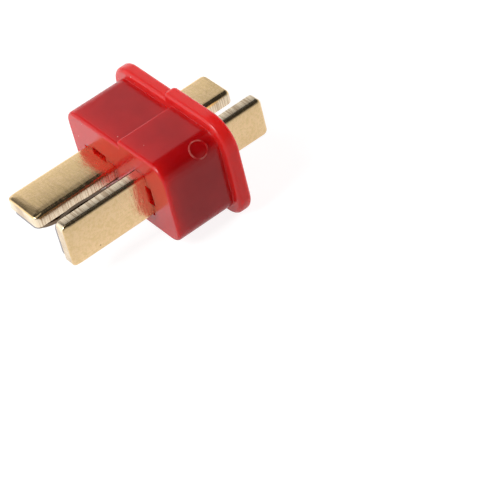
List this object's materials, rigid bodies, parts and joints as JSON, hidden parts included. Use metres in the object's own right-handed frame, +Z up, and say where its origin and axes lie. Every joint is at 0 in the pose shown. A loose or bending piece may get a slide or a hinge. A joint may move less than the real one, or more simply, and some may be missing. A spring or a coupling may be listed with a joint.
{
  "type": "t-plug battery connector",
  "caption": "Polarised flat-blade power plug: keyed red plastic housing with a rear flange, gold-plated blades set in a T, solder tabs and leaf springs.",
  "frame": {"origin": "centre of the housing's mating face, on the web between the two blades", "axes": "+X across the housing towards the tall half, +Y along the mating direction towards the solder tabs, +Z up"},
  "size_m": [0.0166, 0.0215, 0.0103],
  "materials": {
    "red_plastic": "semi-gloss moulded nylon",
    "gold_plate": "gold plate over stamped brass, fine grain",
    "spring_steel": "bright rolled spring steel"
  },
  "bodies": {
    "root": {"housing": "red_plastic", "flat_blade": "gold_plate", "upright_blade": "gold_plate", "flat_spring": "spring_steel", "upright_spring": "spring_steel"}
  },
  "joints": []
}
